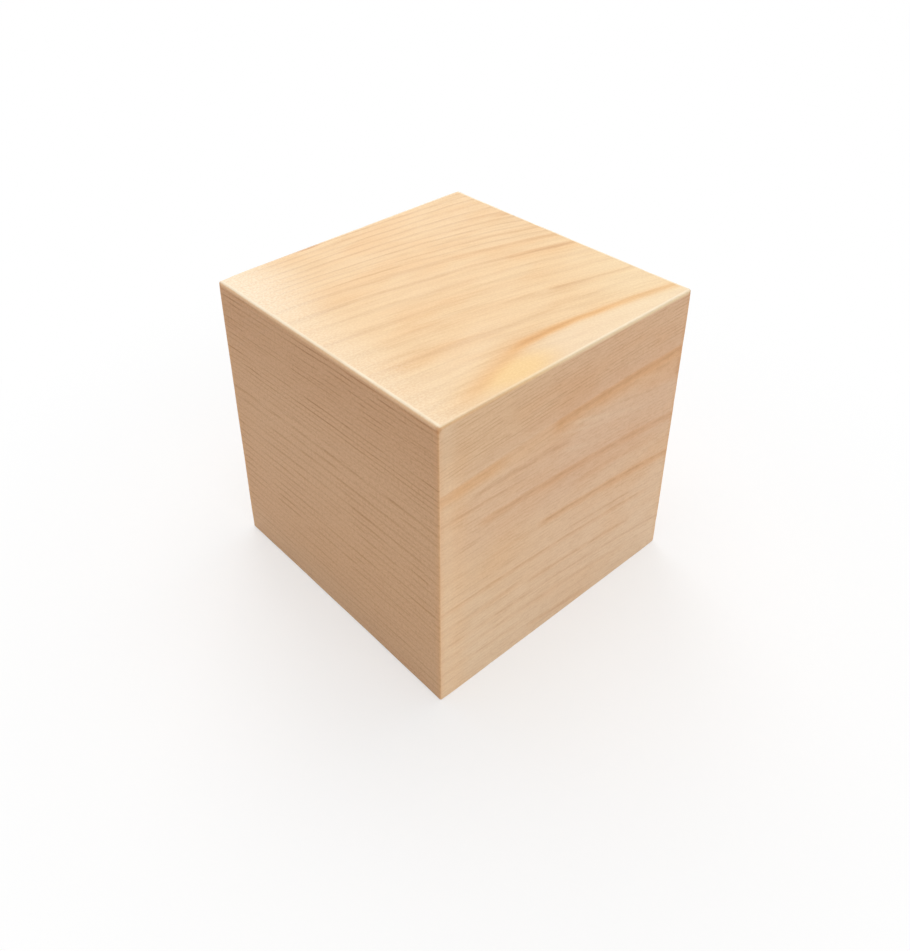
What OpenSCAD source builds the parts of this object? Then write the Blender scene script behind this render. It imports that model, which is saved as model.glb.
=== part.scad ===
// Solid softwood block, planed and crosscut to a cube, with its edges and corners sanded.
// The grain runs along Y, so the two end-grain faces look along -Y and +Y.
// The origin is at the middle of the underside, with +Z up.

/* [Block] */
// Length along the grain, between the two crosscut faces
grain_length = 75; // [25:1:150]
// Width across the grain
width = 75; // [25:1:150]
// Height across the grain
height = 75; // [25:1:150]

/* [Sanding] */
// Radius of the four edges that run along the grain
long_edge_radius = 0.5; // [0.1:0.1:5]
// Radius of the four level edges of the end-grain faces
level_end_edge_radius = 1; // [0.1:0.1:5]
// Radius of the four upright edges of the end-grain faces
upright_end_edge_radius = 0.6; // [0.1:0.1:5]
// How far each corner is rubbed back, along the diagonal of the block
corner_rub = 0.8; // [0:0.1:3]

/* [Hidden] */
// Segments in a full circle
$fn = 64;
// How far each shaping bar runs past the block, so that its square ends cut nothing
overrun = 1;
half_diagonal = norm([width, grain_length, height]) / 2;

// Rectangle about the origin, with round corners
module rounded_rectangle(size_x, size_y, radius) {
    between_x = size_x - 2 * radius;
    between_y = size_y - 2 * radius;
    square([between_x, size_y], center = true);
    square([size_x, between_y], center = true);
    for (side_x = [-1, 1], side_y = [-1, 1])
        translate([side_x * between_x / 2, side_y * between_y / 2])
            circle(radius);
}

// Bar about the origin, standing along Z, that is a little longer than the block is there
module shaping_bar(size_x, size_y, block_length, radius)
    linear_extrude(block_length + 2 * overrun, center = true)
        rounded_rectangle(size_x, size_y, radius);

// The block is what three bars, one along each axis, and a ball have in common.
// Each bar sets the two sizes across it and rounds the four edges along it.
// The ball rubs back the eight corners, which all lie equally far from the centre.
module wooden_cube()
    color("burlywood")
        translate([0, 0, height / 2])
            intersection() {
                rotate([90, 0, 0])
                    shaping_bar(width, height, grain_length, long_edge_radius);
                rotate([0, 90, 0])
                    shaping_bar(height, grain_length, width, level_end_edge_radius);
                shaping_bar(width, grain_length, height, upright_end_edge_radius);
                sphere(half_diagonal - corner_rub);
            }

wooden_cube();
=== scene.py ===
"""A solid pine cube on a plain pale floor: its sanded block, its grain, and soft studio light."""

import math

import bpy
import numpy as np
from mathutils import Matrix, Vector


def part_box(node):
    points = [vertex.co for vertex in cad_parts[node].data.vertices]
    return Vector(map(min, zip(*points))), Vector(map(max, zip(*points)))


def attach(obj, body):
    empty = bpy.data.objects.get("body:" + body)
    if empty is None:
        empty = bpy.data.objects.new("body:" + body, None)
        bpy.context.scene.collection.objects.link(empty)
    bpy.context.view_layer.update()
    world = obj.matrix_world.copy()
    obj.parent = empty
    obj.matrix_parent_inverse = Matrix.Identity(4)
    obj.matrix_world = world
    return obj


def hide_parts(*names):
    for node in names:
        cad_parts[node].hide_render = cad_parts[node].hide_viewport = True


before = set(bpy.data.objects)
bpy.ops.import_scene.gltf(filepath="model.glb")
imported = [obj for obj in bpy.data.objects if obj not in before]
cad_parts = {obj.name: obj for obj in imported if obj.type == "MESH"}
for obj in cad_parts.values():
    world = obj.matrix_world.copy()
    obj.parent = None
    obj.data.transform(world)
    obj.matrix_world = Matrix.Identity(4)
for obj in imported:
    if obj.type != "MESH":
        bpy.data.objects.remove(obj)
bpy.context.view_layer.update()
LOW, HIGH = (Vector(corner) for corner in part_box("wooden_cube"))
SIDE = HIGH.x - LOW.x
MIDDLE = (LOW + HIGH) / 2
MM = 0.001
WHITE = (1, 1, 1, 1)


def colour(red, green, blue):
    """A colour given as it looks on a screen, from 0 to 255, as the linear one that shaders take."""
    shares = (red / 255, green / 255, blue / 255)
    return (*(s / 12.92 if s <= 0.04045 else ((s + 0.055) / 1.055) ** 2.4 for s in shares), 1)


# ---------------------------------------------------------------- shader sums

# The Mix node's sockets for colours, and the one that its result comes from
MIX_SHARE, MIX_FIRST, MIX_SECOND, MIX_RESULT = 0, 6, 7, 2


class Socket:
    """One output of a node. A sum written with it adds the Math nodes that work it out."""

    def __init__(self, graph, output):
        self.graph = graph
        self.output = output

    def beside(self, name):
        """Another output of the same node."""
        return Socket(self.graph, self.output.node.outputs[name])

    def maths(self, operation, *values, clamp=False):
        settings = {"operation": operation, "use_clamp": clamp}
        return self.graph.add("ShaderNodeMath", settings, dict(enumerate(values)))

    def __add__(self, other):
        return self.maths("ADD", self, other)

    def __sub__(self, other):
        return self.maths("SUBTRACT", self, other)

    def __mul__(self, other):
        return self.maths("MULTIPLY", self, other)

    def __truediv__(self, other):
        return self.maths("DIVIDE", self, other)

    def __rsub__(self, other):
        return self.maths("SUBTRACT", other, self)

    def __rtruediv__(self, other):
        return self.maths("DIVIDE", other, self)

    __radd__ = __add__
    __rmul__ = __mul__

    def root(self):
        return self.maths("SQRT", self)

    def whole(self):
        return self.maths("FLOOR", self)

    def part(self):
        return self.maths("FRACT", self)

    def size(self):
        return self.maths("ABSOLUTE", self)

    def at_least(self, limit):
        return self.maths("MAXIMUM", self, limit)

    def at_most(self, limit):
        return self.maths("MINIMUM", self, limit)

    def held(self):
        """The value itself from 0 to 1, and the nearer of the two outside them."""
        return self.maths("ADD", self, 0, clamp=True)

    def rise(self, start, end):
        """0 up to start and 1 from end on, with a smooth ramp between. It falls where end is the lower."""
        return self.graph.add(
            "ShaderNodeMapRange",
            {"interpolation_type": "SMOOTHSTEP"},
            {"Value": self, "From Min": start, "From Max": end},
        )

    def band(self, start, full, fading, end):
        """1 between full and fading, and 0 outside start and end, with smooth ramps between."""
        return self.rise(start, full) * self.rise(end, fading)

    def near(self, middle, full, reach):
        """1 up to one distance from a middle, and 0 from a longer one on."""
        return (self - middle).size().rise(reach, full)


class Graph:
    """The nodes of one material or world."""

    def __init__(self, owner):
        owner.use_nodes = True
        self.tree = owner.node_tree
        self.tree.nodes.clear()

    def add(self, kind, settings=None, inputs=None, output=0):
        """Adds a node, with its settings first and then its sockets, and gives one of its outputs."""
        node = self.tree.nodes.new(kind)
        for name, value in (settings or {}).items():
            setattr(node, name, value)
        for name, value in (inputs or {}).items():
            if isinstance(value, Socket):
                self.tree.links.new(value.output, node.inputs[name])
            else:
                node.inputs[name].default_value = value
        return Socket(self, node.outputs[output]) if node.outputs else None

    def mix(self, share, first, second, blend="MIX"):
        """The first colour turned into the second one by a share."""
        settings = {"data_type": "RGBA", "blend_type": blend}
        inputs = {MIX_SHARE: share, MIX_FIRST: first, MIX_SECOND: second}
        return self.add("ShaderNodeMix", settings, inputs, MIX_RESULT)

    def stained(self, share, shade, stain):
        """A colour with a stain laid over it by a share."""
        return self.mix(share, shade, stain, "MULTIPLY")

    def noise(self, place, counts, detail=1.0):
        """Soft noise about 0.5, read at a place's three parts, with so many lumps to one of each."""
        parts = dict(zip("XYZ", (part * count for part, count in zip(place, counts))))
        vector = self.add("ShaderNodeCombineXYZ", None, parts)
        inputs = {"Vector": vector, "Scale": 1.0, "Detail": detail, "Roughness": 0.5}
        return self.add("ShaderNodeTexNoise", None, inputs)

    def lots(self, numbers):
        """A random number from 0 to 1 for each whole number."""
        return self.add("ShaderNodeTexWhiteNoise", {"noise_dimensions": "1D"}, {"W": numbers})


def distance(*parts):
    """How long a straight line is, from how far it goes each way."""
    squares = [part * part for part in parts]
    return sum(squares[1:], squares[0]).root()


# ---------------------------------------------------------------- the block's mesh

# Radii of the sanded edges, by how they run
LONG_EDGE = 0.15 * MM
LEVEL_END_EDGE = 0.7 * MM
UPRIGHT_END_EDGE = 0.3 * MM
# How much rounder a corner is than its edges, and how far from an edge its own radius holds
CORNER_GROWTH = 0.35
EDGE_REACH = 1.5 * MM
# The share by which a hand-sanded radius wanders, and over what length
HAND_WOBBLE = 0.1
WOBBLE_WAVE = 14 * MM
WOBBLE_SEED = 3
# Small nicks in the edges: least and greatest width and depth
NICKS = 40
NICK_WIDTHS = (0.5 * MM, 1.6 * MM)
NICK_DEPTHS = (0.05 * MM, 0.22 * MM)
NICK_SEED = 11
# The faces' slight hollows: how deep and long they are, and how far in from an edge they are full
FACE_HOLLOW = 0.03 * MM
HOLLOW_WAVE = 30 * MM
HOLLOW_SEED = 5
HOLLOW_MARGIN = 4 * MM
# Waves that add up to a random height, and how much shorter or longer than its length they are
RIPPLE_WAVES = 9
RIPPLE_SPREAD = (0.6, 1.6)
# The mesh's lines: fine steps in from each edge, then steps that grow to coarse ones
FINE_STEP = 0.1 * MM
FINE_STEPS = 12
COARSE_STEP = 1.0 * MM
STEP_GROWTH = 1.3


def mesh_lines():
    """Where the mesh's lines lie along a side, from the middle: fine at the edges, coarse between them."""
    half = SIDE / 2
    inward, step, place = [], FINE_STEP, 0.0
    while place < half:
        inward.append(place)
        if len(inward) > FINE_STEPS:
            step = min(step * STEP_GROWTH, COARSE_STEP)
        place += step
    if half - inward[-1] < step / 2:
        inward.pop()
    low = [p - half for p in inward]
    return np.array([*low, 0.0, *(-p for p in reversed(low))])


def ripple(points, wave, seed):
    """A smooth random height from about -1 to 1, with waves of about the length given."""
    draw = np.random.default_rng(seed)
    total = np.zeros(len(points))
    for _ in range(RIPPLE_WAVES):
        direction = draw.normal(size=3)
        direction *= draw.uniform(*RIPPLE_SPREAD) * 2 * math.pi / wave / np.linalg.norm(direction)
        total += np.sin(points @ direction + draw.uniform(0, 2 * math.pi))
    return total / math.sqrt(RIPPLE_WAVES)


def nicks(points):
    """How much rounder the nicks leave the edges near each point."""
    half = SIDE / 2
    draw = np.random.default_rng(NICK_SEED)
    total = np.zeros(len(points))
    for _ in range(NICKS):
        nick = draw.uniform(-half, half, 3)
        along = draw.integers(3)
        for axis in range(3):
            if axis != along:
                nick[axis] = half * draw.choice((-1, 1))
        width, depth = draw.uniform(*NICK_WIDTHS), draw.uniform(*NICK_DEPTHS)
        total += depth * np.exp(-(((points - nick) ** 2).sum(axis=1)) / width**2)
    return total


def edge_radius(points):
    """How round the sanding left the block near each point."""
    across, along, up = (SIDE / 2 - np.abs(points)).T
    edges = ((across + up, LONG_EDGE), (along + up, LEVEL_END_EDGE), (across + along, UPRIGHT_END_EDGE))
    never_zero = 1e-9
    pulls = [np.exp(-gap / EDGE_REACH) + never_zero for gap, _ in edges]
    radius = sum(pull * size for pull, (_, size) in zip(pulls, edges)) / sum(pulls)
    radius *= 1 + CORNER_GROWTH * np.exp(-(across + along + up) / EDGE_REACH)
    radius *= 1 + HAND_WOBBLE * ripple(points, WOBBLE_WAVE, WOBBLE_SEED)
    return (radius + nicks(points))[:, None]


def sanded(points):
    """Moves points from the sharp cube's surface to the sanded one's."""
    half = SIDE / 2
    radius = edge_radius(points)
    core = np.clip(points, radius - half, half - radius)
    outward = points - core
    outward /= np.linalg.norm(outward, axis=1)[:, None]
    hollow = FACE_HOLLOW * (0.5 - 0.5 * np.clip(ripple(points, HOLLOW_WAVE, HOLLOW_SEED), -1, 1))
    from_edge = half - np.sort(np.abs(points), axis=1)[:, 1]
    flat = np.clip(from_edge / HOLLOW_MARGIN, 0, 1)
    return core + outward * (radius - (hollow * flat)[:, None])


def block():
    """The cube as one closed mesh, with no vertex shared by place alone."""
    lines = mesh_lines()
    count = len(lines)
    outer = np.zeros((count, count, count), bool)
    for axis in range(3):
        for end in (0, -1):
            side = [slice(None)] * 3
            side[axis] = end
            outer[tuple(side)] = True
    number = np.cumsum(outer).reshape(outer.shape) - 1
    steps = np.argwhere(outer)
    points = sanded(lines[steps]) + np.array(MIDDLE)
    quads = []
    for axis in range(3):
        for end, flip in ((0, True), (-1, False)):
            side = [slice(None)] * 3
            side[axis] = end
            grid = number[tuple(side)]
            corners = [grid[:-1, :-1], grid[1:, :-1], grid[1:, 1:], grid[:-1, 1:]]
            if flip != (axis == 1):
                corners.reverse()
            quads.append(np.stack(corners, axis=-1).reshape(-1, 4))
    mesh = bpy.data.meshes.new("sanded_block")
    mesh.from_pydata(points.tolist(), [], np.concatenate(quads).tolist())
    mesh.shade_smooth()
    piece = bpy.data.objects.new("sanded_block", mesh)
    bpy.context.collection.objects.link(piece)
    return piece


# ---------------------------------------------------------------- the grain

# Every length from here to the lights is in sides of the block, unless a name says otherwise.
# The tree's pith ran under the block, well to its right, and leant as it rose along the grain.
PITH_ACROSS = 1.25
PITH_LEAN = 0.2
PITH_BELOW = 0.6
# How far the rings at the top of the right-hand side fan out towards the back
FAN = 0.08
# How far the rings and the end grain's lines bend slowly and wobble
RING_BEND, RING_WOBBLE = 0.008, 0.004
END_BEND, END_WOBBLE = 0.01, 0.004
# How far the end grain's lines rise from left to right, and how far they sag again
END_RISE, END_SAG = 0.04, 0.015
# Growth rings: how wide they are, out to each distance from the pith
RING_WIDTHS = ((1.45, 0.0125), (1.655, 0.0114), (1.874, 0.0365), (1.9465, 0.0145), (3.0, 0.0185))
# Lines on the end grain: how far apart they are, up to each height, and how many fine ones there are
END_WIDTHS = ((0.45, 0.027), (0.67, 0.036), (1.2, 0.0185))
FINE_LINES = 58
# Seeds of the strengths of the rings, the end grain's lines and its fine ones
RING_SEED, END_SEED, FINE_SEED = 0.5, 7.5, 3.5
# A ring's late part, in shares of its width: where it starts, is dark, begins to fade and ends, and
# how strong it is in the faintest ring
LATE_PART = (0.55, 0.82, 0.86, 1.0)
FAINTEST_LATE = 0.45
# Zones of plain rings, out from the pith: where each starts to show and where it shows in full. The
# close zone also has where it starts to go and where it has gone.
INNER_ZONE = (1.42, 1.38)
CLOSE_ZONE = (1.42, 1.46, 1.65, 1.67)
WIDE_ZONE = (1.65, 1.68)
OUTER_ZONE = (1.78, 1.84)
# Where the outermost rings have faded a little, and where they start to
OUTER_FADE = (2.02, 1.95)
# How strong the plain rings are everywhere, and what each zone adds
PLAIN_VIGOUR = 0.2
INNER_VIGOUR, CLOSE_VIGOUR, WIDE_VIGOUR, OUTER_VIGOUR = 0.25, 0.75, 0.1, 0.55
# Bold rings: distance from the pith, depth and half width of the dark line, depth and reach of the
# warm wood on its inner side, and where along the grain the ring starts and ends
BOLD_RINGS = (
    (1.954, 0.35, 0.005, 0.1, 0.01, 0.91, 1.2),
    (1.904, 0.14, 0.006, 0.1, 0.02, 0.60, 1.2),
    (1.868, 0.05, 0.006, 0.3, 0.02, 0.60, 1.2),
    (1.828, 0.36, 0.005, 0.35, 0.03, 0.72, 1.2),
    (1.830, 0.09, 0.004, 0.05, 0.03, 0.05, 0.80),
    (1.765, 0.12, 0.004, 0.1, 0.02, 0.36, 1.2),
    (1.757, 0.14, 0.004, 0.05, 0.03, -0.2, 0.40),
    (1.7265, 0.42, 0.005, 0.2, 0.02, 0.67, 0.96),
    (1.7265, 0.20, 0.004, 0.2, 0.02, 0.88, 1.2),
    (1.7265, 0.13, 0.004, 0.12, 0.02, 0.10, 0.72),
    (1.685, 0.10, 0.005, 0.30, 0.02, 0.05, 0.45),
    (1.391, 0.24, 0.008, 0.62, 0.036, 0.40, 1.2),
    (1.388, 0.02, 0.014, 0.30, 0.040, 0.20, 0.48),
    (1.386, 0.05, 0.012, 0.65, 0.040, -0.2, 0.27),
    (1.340, 0.30, 0.010, 0.1, 0.02, 0.10, 0.52),
    (1.300, 0.30, 0.008, 0.1, 0.02, -0.2, 0.34),
    (1.238, 0.22, 0.013, 0.35, 0.03, 0.12, 1.2),
    (1.180, 0.12, 0.008, 0.1, 0.02, 0.48, 0.88),
    (1.098, 0.25, 0.012, 0.4, 0.03, 0.36, 1.2),
    (1.090, 0.14, 0.008, 0.1, 0.02, -0.2, 0.40),
    (1.012, 0.14, 0.007, 0.1, 0.02, 0.50, 0.86),
    (0.984, 0.24, 0.008, 0.2, 0.02, -0.2, 0.95),
    (0.916, 0.16, 0.008, 0.1, 0.02, -0.2, 0.36),
    (0.902, 0.22, 0.008, 0.2, 0.02, 0.32, 0.86),
    (0.851, 0.20, 0.008, 0.1, 0.02, -0.2, 1.2),
    (0.804, 0.18, 0.007, 0.1, 0.02, -0.2, 0.86),
    (0.751, 0.18, 0.007, 0.1, 0.02, -0.2, 0.38),
    (0.716, 0.18, 0.008, 0.2, 0.02, 0.34, 0.68),
)
# How far along the grain a bold ring takes to come and to go
BOLD_COMES, BOLD_GOES = 0.06, 0.08

# The curved band on the top: how far across it lies at mid length, how it slopes and curves away
# behind that, how far it hooks to the right in front, and how much it wobbles
BAND_ACROSS = 0.873
BAND_SLOPE, BAND_CURVE = 0.068, 0.17
BAND_HOOK = 0.095
BAND_WOBBLE = 0.012
# The yellow lens inside it and the fleck of resin: middle and reach, across and along
LENS_MIDDLE, LENS_REACH = (0.955, 0.32), (0.075, 0.17)
FLECK_MIDDLE, FLECK_REACH = (0.003, 0.335), (0.014, 0.07)

# Where these start and where they are full: the end faces, in from the nearer end, the top face, and
# the top's back, which carries a painted sheen, along the grain and across it
END_FACE = (0.005, 0.001)
TOP_FACE = (0.985, 0.997)
BACK_ALONG, BACK_ACROSS = (0.5, 1.0), (0.35, 0.8)

# How many lumps of noise there are to a side of the block: across, along the grain and up
SLOW_BEND = (3, 1.2, 3)
WOBBLE = (14, 7, 14)
MOTTLE = (8, 3, 8)
STREAKS = (45, 3.5, 45)
FIBRES = (170, 6, 150)
PORES = (110, 110, 190)
SPECKS = (200, 120, 200)
# The same across, along a slant in the side and above that slant
DIVES = (9, 1, 38)
# The same across, up and along the grain
END_BREAKS = (9, 55, 9)
END_PATCHES = (5, 8, 5)
# The same out from the pith, along the grain and across
RING_BREAKS = (60, 7, 6)

EARLYWOOD = colour(246, 212, 166)
INNER_WOOD = colour(244, 209, 170)
BUTTER = colour(252, 214, 150)
PALE = colour(255, 237, 209)
# Cream of the painted sheen on the top's back
SHEEN_CREAM = colour(255, 232, 190)
RESIN = colour(190, 112, 40)
# Cream of a painted highlight on the long edges
EDGE_HIGHLIGHT = colour(255, 229, 183)
# Warm pale wear, also used for a painted highlight on the end grain's top edges
RUBBED_AND_HIGHLIGHT = colour(255, 212, 164)
END_EARLY = colour(233, 188, 144)
# Stains multiply the wood that they lie on
LATE_STAIN = colour(220, 199, 173)
DARK_STAIN = colour(206, 173, 137)
WARM_STAIN = colour(249, 225, 190)
DENSE_STAIN = colour(238, 225, 229)
BURNT_STAIN = colour(226, 198, 168)

# How strongly late wood, fibres, pores and specks are stained
LATE_SHARE, FIBRE_SHARE, PORE_SHARE, SPECK_SHARE = 0.6, 0.15, 0.36, 0.13
# How high late wood stands on the long faces and how deep fibres, fine lines and pores lie, as
# shares of the relief's depth
RELIEF_STRENGTH = 0.6
RELIEF_DEPTH = 0.07 * MM
LATE_RISE, FIBRE_DEPTH, FINE_DEPTH, PORE_DEPTH = 0.5, 0.35, 0.5, 0.4
PLAIN_ROUGHNESS = 0.54
FIBRE_ROUGHNESS, LATE_SMOOTHNESS = 0.06, 0.08


class Wood:
    """A point of the block: its place, the faces that it is on, and how the grain wanders there."""

    def __init__(self, graph):
        place = graph.add("ShaderNodeTexCoord", output="Object")
        x = graph.add("ShaderNodeSeparateXYZ", None, {"Vector": place}, "X")
        self.across = (x - LOW.x) / SIDE
        self.along = (x.beside("Y") - LOW.y) / SIDE
        self.height = (x.beside("Z") - LOW.z) / SIDE
        self.place = (self.across, self.along, self.height)
        self.from_side = 0.5 - (self.across - 0.5).size()
        self.from_end = 0.5 - (self.along - 0.5).size()
        self.at_end = self.from_end.rise(*END_FACE)
        self.long_face = 1 - self.at_end
        self.on_top = self.height.rise(*TOP_FACE)
        self.below_top = 1 - self.on_top
        # The top's back right, where a painted sheen is laid
        self.back = self.along.rise(*BACK_ALONG) * self.across.rise(*BACK_ACROSS) * self.on_top
        self.bend = graph.noise(self.place, SLOW_BEND) - 0.5
        self.wobble = graph.noise(self.place, WOBBLE) - 0.5
        self.mottle = graph.noise(self.place, MOTTLE, detail=2.0)

    def oval(self, middle, reach):
        """How far out from the middle of an oval the point is: 1 on its rim."""
        return distance((self.across - middle[0]) / reach[0], (self.along - middle[1]) / reach[1])


def ring_count(distance_out, widths):
    """How many rings lie within a distance, from a table of (end, width), counted from its first end."""
    first_end, first_width = widths[0]
    total = ((distance_out - first_end) / first_width).at_most(0)
    for (start, _), (end, width) in zip(widths, widths[1:]):
        total = total + (distance_out - start).at_least(0).at_most(end - start) / width
    return total


def ring_lines(graph, rings, seed):
    """The late part of each ring as a line that darkens slowly and ends soon, with a strength of its own."""
    strength = FAINTEST_LATE + (1 - FAINTEST_LATE) * graph.lots(rings.whole() + seed)
    return rings.part().band(*LATE_PART) * strength


def plain_rings(graph, wood, radius):
    """The late wood of the plain rings, and the breaks in it."""
    inner = radius.rise(*INNER_ZONE)
    close = radius.band(*CLOSE_ZONE) * wood.below_top
    outer = radius.rise(*OUTER_ZONE) * (0.6 + 0.4 * radius.rise(*OUTER_FADE))
    vigour = PLAIN_VIGOUR + WIDE_VIGOUR * radius.rise(*WIDE_ZONE) + OUTER_VIGOUR * outer
    vigour = vigour + CLOSE_VIGOUR * close + INNER_VIGOUR * inner
    breaks = graph.noise((radius, wood.along * (1 + close + inner), wood.across), RING_BREAKS, detail=2.0)
    gone = 0.15 + 0.2 * (close + inner)
    lines = ring_lines(graph, ring_count(radius, RING_WIDTHS), RING_SEED)
    return lines * breaks.rise(gone, 0.55) * vigour, breaks


def bold_rings(radius, along, breaks):
    """The dark lines of the boldest rings, and the warm wood beside them."""
    dark = warm = 0.0
    whole = 0.4 + 0.6 * breaks.rise(0.3, 0.6)
    for distance_out, depth, line, warmth, reach, start, end in BOLD_RINGS:
        gap = radius - distance_out
        shown = along.band(start, start + BOLD_COMES, end - BOLD_GOES, end)
        dark = dark + gap.band(-1.2 * line, 0, 0, 0.8 * line) * shown * whole * depth
        warm = warm + gap.band(-reach, -0.2 * reach, 0.1 * reach, 0.5 * reach) * shown * warmth
    return dark.held(), warm.held()


def plain_wood(graph, wood, radius, streaks):
    """The wood between the rings: its patches, its denser belt, its long streaks, its paler front, painted
    bounce light paler towards the bottom and a painted sheen on the top's back.
    """
    shade = graph.mix(radius.rise(1.47, 1.36), EARLYWOOD, INNER_WOOD)
    shade = graph.stained(wood.mottle.rise(0.4, 0.7) * 0.3, shade, WARM_STAIN)
    belt = wood.height.near(0.62, 0.06, 0.18)
    dense = 0.6 * radius.rise(1.36, 1.44) + 0.25 * wood.along.rise(0.1, 0.6) + 0.25 * belt
    shade = graph.stained(dense * wood.below_top, shade, DENSE_STAIN)
    shade = graph.stained(belt * wood.along.rise(0.35, 0.0) * 0.12, shade, WARM_STAIN)
    # Painted bounce light: the long faces paler towards the bottom. They are also a little paler towards the
    # front.
    pale_front = wood.along.rise(0.3, 0.0) * wood.below_top
    shade = graph.mix(wood.height.rise(0.5, 0.0) * 0.3 + pale_front * 0.03, shade, PALE)
    warm_front = wood.along.rise(0.14, 0.03) * wood.height.rise(0.95, 0.8) * wood.long_face
    shade = graph.mix(warm_front * 0.45, shade, RUBBED_AND_HIGHLIGHT)
    # Painted sheen: the top's back right made paler and creamier
    shade = graph.mix(wood.back * 0.3, shade, SHEEN_CREAM)
    streak_share = 0.12 + 0.12 * wood.on_top * wood.across.rise(0.4, 0.55)
    shade = graph.stained(streaks.rise(0.4, 0.75) * streak_share, shade, LATE_STAIN)

    # The grain dives at a slant below the band on the right-hand side
    where = wood.along.near(0.65, 0.1, 0.3) * wood.height.near(0.72, 0.03, 0.12)
    slant = (wood.across, wood.along * 5 + wood.height * 9, wood.height + 0.3 * wood.along)
    dive = graph.noise(slant, DIVES).rise(0.45, 0.75)
    return graph.mix(dive * where * wood.across.rise(0.9, 1.0) * 0.16, shade, PALE)


def curved_band(graph, wood, shade):
    """The orange band that bends round the top's right-hand side, and the yellow wood that it holds."""
    along = wood.along
    behind = (along - 0.5).at_least(0)
    bend = BAND_SLOPE * behind + BAND_CURVE * behind * behind + BAND_HOOK * along.rise(0.45, 0.05)
    gap = wood.across - (BAND_ACROSS + bend) + BAND_WOBBLE * wood.wobble
    pale = gap.rise(0.0, 0.03) * along.rise(0.28, 0.55)
    shade = graph.mix(pale * wood.on_top * 0.42, shade, PALE)
    beside = gap.band(-0.2, -0.12, -0.08, -0.03) * along.band(0.02, 0.15, 0.35, 0.5)
    shade = graph.mix(beside * wood.on_top * 0.17, shade, PALE)
    lens = wood.oval(LENS_MIDDLE, LENS_REACH).rise(1.05, 0.2) * gap.rise(-0.02, 0.03)
    shade = graph.mix(lens * wood.on_top * 0.8, shade, BUTTER)
    spread = -0.012 - 0.036 * along.rise(0.7, 0.35)
    wash = gap.band(spread, 0, 0, 0.045) * (0.5 + 0.04 * along.rise(0.5, 0.33))
    wash = wash + gap.band(-0.026, 0, 0.004, 0.028) * along.rise(0.33, 0.45) * 0.5
    shade = graph.stained(wash * along.rise(-0.05, 0.25) * wood.on_top, shade, WARM_STAIN)
    core = gap.band(-0.014, 0, 0, 0.014) * (0.06 + 0.14 * (along - 0.74).size().rise(0, 0.2))
    return graph.stained(core * along.rise(0.36, 0.46) * wood.on_top, shade, DARK_STAIN)


def resin_fleck(graph, wood, shade):
    """A short fleck of resin on the left-hand edge of the top."""
    fleck = wood.oval(FLECK_MIDDLE, FLECK_REACH).rise(1.0, 0.3) * wood.height.rise(0.95, 0.99)
    return graph.mix(fleck * 0.6, shade, RESIN)


def long_grain(graph, wood):
    """The wood as its four long faces show it, its late wood and its fibres."""
    across, along, height = wood.place
    lean = PITH_LEAN * (0.5 * along + 0.5 * along * along) * (0.3 + 0.7 * across.rise(0, 0.5))
    fan = FAN * along * across.rise(0.75, 1.0) * height.rise(0.68, 0.8)
    radius = distance(PITH_ACROSS + lean - across, height + PITH_BELOW) - fan
    radius = radius + RING_BEND * wood.bend + RING_WOBBLE * wood.wobble
    late, breaks = plain_rings(graph, wood, radius)
    dark, warm = bold_rings(radius, along, breaks)
    streaks = graph.noise((across - lean, along, height), STREAKS, detail=2.0)
    fibre = graph.noise((across - lean, along, height + 0.03 * along), FIBRES).rise(0.45, 0.7)
    shade = plain_wood(graph, wood, radius, streaks)
    shade = graph.stained(late * LATE_SHARE, shade, LATE_STAIN)
    shade = graph.stained(fibre * FIBRE_SHARE, shade, LATE_STAIN)
    shade = graph.stained(warm, shade, WARM_STAIN)
    shade = graph.stained(dark, shade, DARK_STAIN)
    shade = curved_band(graph, wood, shade)
    return resin_fleck(graph, wood, shade), late, fibre


def end_grain(graph, wood):
    """The wood as a crosscut shows it, paler towards the bottom as painted bounce light, and how deep its
    lines and pores lie.
    """
    across, along, height = wood.place
    level = height - END_RISE * across + END_SAG * across * across
    level = level + END_BEND * wood.bend + END_WOBBLE * wood.wobble
    breaks = graph.noise((across, height, along), END_BREAKS)
    late = ring_lines(graph, ring_count(level, END_WIDTHS), END_SEED) * breaks.rise(0.3, 0.62)
    fine = ring_lines(graph, level * FINE_LINES, FINE_SEED) * breaks.rise(0.6, 0.3)
    pores = graph.noise(wood.place, PORES, detail=2.0)
    patches = graph.noise((across, height, along), END_PATCHES).rise(0.3, 0.65)
    lines = late * (0.45 + 0.5 * patches) * (0.85 + 0.3 * height.rise(0.6, 0.8)) + fine * 0.45
    shade = graph.stained(lines, END_EARLY, LATE_STAIN)
    shade = graph.stained(pores.rise(0.42, 0.68) * PORE_SHARE, shade, LATE_STAIN)
    shade = graph.stained(across.rise(0.25, 0.0) * 0.1, shade, WARM_STAIN)
    # Painted bounce light: the end faces paler towards the bottom, most towards the right-hand corner
    painted_bounce = height.rise(0.35, 0.0) * (0.02 + 0.06 * across)
    painted_bounce = painted_bounce + height.rise(0.17, 0.03) * across.rise(1.0, 0.3) * 0.11
    return graph.mix(painted_bounce, shade, PALE), late + fine * FINE_DEPTH + pores * PORE_DEPTH


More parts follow.
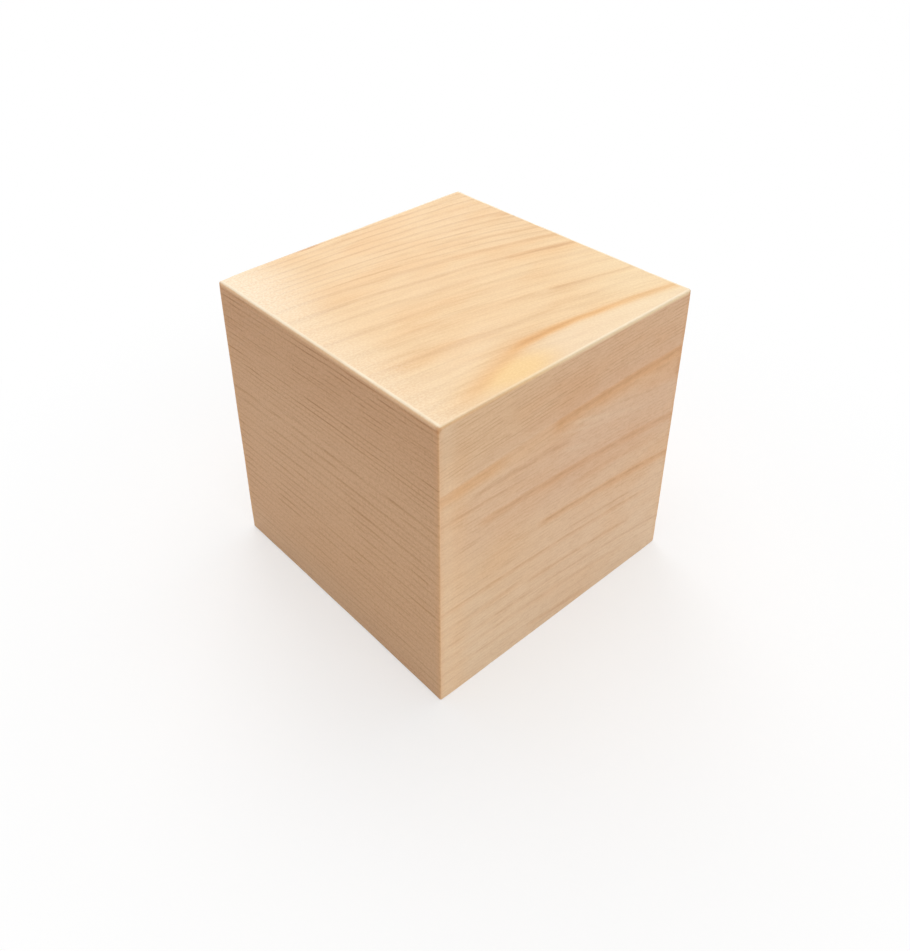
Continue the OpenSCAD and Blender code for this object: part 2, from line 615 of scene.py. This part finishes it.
def crosscut_wear(graph, wood, shade):
    """The edges of the end grain, burnt a little by the saw and rubbed warm and pale, with a painted
    highlight along their top edges and the long faces paler near the front end.
    """
    scorch = wood.height.band(0.6, 0.97, 0.975, 0.995) * wood.at_end
    shade = graph.stained(scorch * 0.25, shade, BURNT_STAIN)
    end_rim = wood.from_side.rise(0.03, 0.0) * wood.at_end
    shade = graph.mix(end_rim * 0.2, shade, RUBBED_AND_HIGHLIGHT)
    shade = graph.stained(end_rim * 0.28, shade, WARM_STAIN)
    # Painted highlight on the arc of the end grain's top edges, in the warm pale colour
    brow_highlight = wood.height.rise(0.985, 0.994) * wood.from_end.rise(0.006, 0.002)
    shade = graph.mix(brow_highlight * 0.75, shade, RUBBED_AND_HIGHLIGHT)
    below_brow = wood.height.near(0.982, 0.002, 0.008) * wood.at_end
    shade = graph.stained(below_brow * 0.2, shade, WARM_STAIN)
    side = wood.long_face * wood.below_top
    warm_rim = wood.from_end.rise(0.025, 0.004) * side
    shade = graph.stained(warm_rim * 0.3, shade, WARM_STAIN)
    rubbed_rim = wood.from_end.rise(0.007, 0.002) * side
    shade = graph.mix(rubbed_rim * 0.6, shade, RUBBED_AND_HIGHLIGHT)
    # The long faces paler near the front end
    pale_front_rim = wood.along.rise(0.08, 0.02) * side
    return graph.mix(pale_front_rim * 0.16, shade, PALE)


def top_wear(graph, wood, shade):
    """Fine specks all over, painted sheen on the top's front and back, painted highlights along the edges
    round it, a warm stain on the long edges' front, and its bruised corners.
    """
    # Painted sheen on the top's back right, laid on a second time
    shade = graph.mix(wood.back * 0.3, shade, SHEEN_CREAM)
    specks = graph.noise(wood.place, SPECKS).rise(0.42, 0.62)
    shade = graph.stained((1 - specks) * SPECK_SHARE, shade, LATE_STAIN)
    crest = wood.height.rise(0.9955, 0.9985)
    right = wood.across.rise(0.1, 0.5)
    # Painted sheen: the top paler towards its front end, most on the left, speckled like glints
    pale_front = wood.along.rise(0.29 - 0.11 * right, 0.0) * (0.73 - 0.35 * right)
    shade = graph.mix(pale_front * crest * (0.7 + 0.6 * specks), shade, PALE)
    # Painted highlight along the top's crosscut edges, patchy in strength
    end_edge_highlight = crest * wood.from_end.near(0.0075, 0.002, 0.006)
    shade = graph.mix(end_edge_highlight * (0.6 + 0.4 * wood.mottle.rise(0.35, 0.6)), shade, PALE)
    # Painted highlight along the top's long edges, wrapping onto the sides' top rim, strongest towards the
    # back; a warm stain on it towards the front
    long_rim_highlight_and_stain = wood.from_side.rise(0.009, 0.002) * wood.height.rise(0.984, 0.99) * wood.long_face
    shade = graph.mix(long_rim_highlight_and_stain * (0.05 + 0.3 * wood.along.rise(0.15, 0.5)), shade, EDGE_HIGHLIGHT)
    shade = graph.stained(long_rim_highlight_and_stain * wood.along.rise(0.5, 0.15) * 0.3, shade, WARM_STAIN)
    # A brighter painted highlight on the top's side of its long edges, strongest towards the back
    long_edge_highlight = wood.from_side.rise(0.009, 0.005) * wood.height.rise(0.995, 0.9985) * wood.long_face
    shade = graph.mix(long_edge_highlight * (0.3 + 0.4 * wood.along.rise(0.1, 0.8)), shade, PALE)
    bruise = distance(wood.from_side, wood.from_end, wood.height - 0.989).rise(0.015, 0.006)
    return graph.mix(bruise * 0.35, shade, RESIN)


def pine():
    """Solid pine: every face shows the same block, cut where the face lies."""
    material = bpy.data.materials.new("pine")
    graph = Graph(material)
    wood = Wood(graph)
    long_shade, late, fibre = long_grain(graph, wood)
    end_shade, end_lines = end_grain(graph, wood)
    shade = graph.mix(wood.at_end, long_shade, end_shade)
    shade = crosscut_wear(graph, wood, shade)
    shade = top_wear(graph, wood, shade)
    relief = (late * LATE_RISE - fibre * FIBRE_DEPTH) * wood.long_face - end_lines * wood.at_end
    bump = graph.add(
        "ShaderNodeBump",
        None,
        {"Height": relief, "Strength": RELIEF_STRENGTH, "Distance": RELIEF_DEPTH},
    )
    roughness = PLAIN_ROUGHNESS + FIBRE_ROUGHNESS * fibre - LATE_SMOOTHNESS * late
    surface = graph.add(
        "ShaderNodeBsdfPrincipled",
        None,
        {"Base Color": shade, "Roughness": roughness, "Normal": bump},
    )
    graph.add("ShaderNodeOutputMaterial", None, {"Surface": surface})
    return material


# ---------------------------------------------------------------- floor, light and camera

# Light from all round, as a share of the white that the surround is seen as
AMBIENT = 0.35
# The floor's size in metres, how much light it throws back, and where it turns into the surround
FLOOR_SIZE = 6.0
FLOOR_BOUNCE = 0.85
FLOOR_NEAR, FLOOR_FAR = 0.8 * SIDE, 2.2 * SIDE

# Square lamps: name, the way out to each from the block, width in metres and brightness
SOFTBOXES = (
    ("overhead", (-0.1, 0.1, 1), 1.6, 0.64),
    ("back_left", (-0.75, 0.45, 0.55), 0.9, 0.18),
    ("right_fill", (0.95, -0.1, 0.3), 1.2, 0.23),
)
LAMP_DISTANCE = 1.6

# Where the camera stands, in degrees and in metres from the point that it looks at
AZIMUTH, ELEVATION, ROLL = 50.36, 32.55, -1.63
STAND_OFF = 3.1525 * SIDE
# How far that point is from the block's middle, as the camera sees it
AIM_RIGHT, AIM_UP = -0.134 * SIDE, 0.225 * SIDE
# The lens and the sensor in millimetres, and the lens's shift as shares of the sensor
FOCAL_LENGTH = 36.55
SENSOR_WIDTH = 36
SHIFT_RIGHT, SHIFT_UP = 0.05, -0.13
# How near and how far the camera sees, in metres
SEES_FROM, SEES_TO = 0.01, 50


def surround():
    """An even pale room that is white to the eye and lights the block less."""
    world = bpy.data.worlds.new("pale_room")
    graph = Graph(world)
    rays = graph.add("ShaderNodeLightPath", output="Is Camera Ray")
    seen = (rays + rays.beside("Is Glossy Ray") + rays.beside("Is Transmission Ray")).held()
    strength = AMBIENT + (1 - AMBIENT) * seen
    background = graph.add("ShaderNodeBackground", None, {"Color": WHITE, "Strength": strength})
    graph.add("ShaderNodeOutputWorld", None, {"Surface": background})
    bpy.context.scene.world = world


def pale_floor():
    """A matt pale finish that takes the block's shadow and turns into the white surround further out."""
    material = bpy.data.materials.new("pale_floor")
    graph = Graph(material)
    camera_ray = graph.add("ShaderNodeLightPath", output="Is Camera Ray")
    tint = graph.mix(camera_ray, (FLOOR_BOUNCE, FLOOR_BOUNCE, FLOOR_BOUNCE, 1), WHITE)
    matt = graph.add("ShaderNodeBsdfDiffuse", None, {"Color": tint})
    place = graph.add("ShaderNodeTexCoord", output="Object")
    away = graph.add("ShaderNodeVectorMath", {"operation": "LENGTH"}, {0: place}, "Value")
    glow = graph.add("ShaderNodeEmission", None, {"Color": WHITE, "Strength": 1.0})
    share = (0.5 + 0.5 * away.rise(FLOOR_NEAR, FLOOR_FAR)) * camera_ray
    surface = graph.add("ShaderNodeMixShader", None, {0: share, 1: matt, 2: glow})
    graph.add("ShaderNodeOutputMaterial", None, {"Surface": surface})
    return material


def ground():
    """The plain floor that the block stands on."""
    mesh = bpy.data.meshes.new("floor")
    reach = FLOOR_SIZE / 2
    corners = [(x * reach, y * reach, LOW.z) for x, y in ((-1, -1), (1, -1), (1, 1), (-1, 1))]
    mesh.from_pydata(corners, [], [(0, 1, 2, 3)])
    mesh.materials.append(pale_floor())
    floor = bpy.data.objects.new("floor", mesh)
    bpy.context.collection.objects.link(floor)


def softbox(name, direction, width, brightness):
    """A square lamp aimed at the block. A white surface that faced it would render at its brightness."""
    data = bpy.data.lights.new(name, "AREA")
    data.shape = "SQUARE"
    data.size = width
    data.energy = brightness * (math.pi * LAMP_DISTANCE) ** 2
    lamp = bpy.data.objects.new(name, data)
    outward = Vector(direction).normalized()
    turn = outward.to_track_quat("Z", "Y").to_matrix().to_4x4()
    lamp.matrix_world = Matrix.Translation(MIDDLE + outward * LAMP_DISTANCE) @ turn
    bpy.context.collection.objects.link(lamp)


def camera():
    """Looks down on the upright edge between the front end grain and the right-hand face."""
    azimuth, elevation = math.radians(AZIMUTH), math.radians(ELEVATION)
    flat = math.cos(elevation)
    back = Vector((math.sin(azimuth) * flat, -math.cos(azimuth) * flat, math.sin(elevation)))
    right = Vector((math.cos(azimuth), math.sin(azimuth), 0))
    up = back.cross(right)
    aim = MIDDLE + right * AIM_RIGHT + up * AIM_UP
    data = bpy.data.cameras.new("camera")
    data.lens = FOCAL_LENGTH
    data.sensor_width = SENSOR_WIDTH
    data.shift_x, data.shift_y = SHIFT_RIGHT, SHIFT_UP
    data.clip_start, data.clip_end = SEES_FROM, SEES_TO
    eye = bpy.data.objects.new("camera", data)
    turn = Matrix((right, up, back)).transposed().to_4x4() @ Matrix.Rotation(math.radians(ROLL), 4, "Z")
    eye.matrix_world = Matrix.Translation(aim + back * STAND_OFF) @ turn
    bpy.context.collection.objects.link(eye)
    bpy.context.scene.camera = eye


camera()
surround()
ground()
for box in SOFTBOXES:
    softbox(*box)

cube = block()
cube.data.materials.append(pine())
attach(cube, "root")
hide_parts("wooden_cube")

bpy.context.scene.view_settings.view_transform = "Standard"
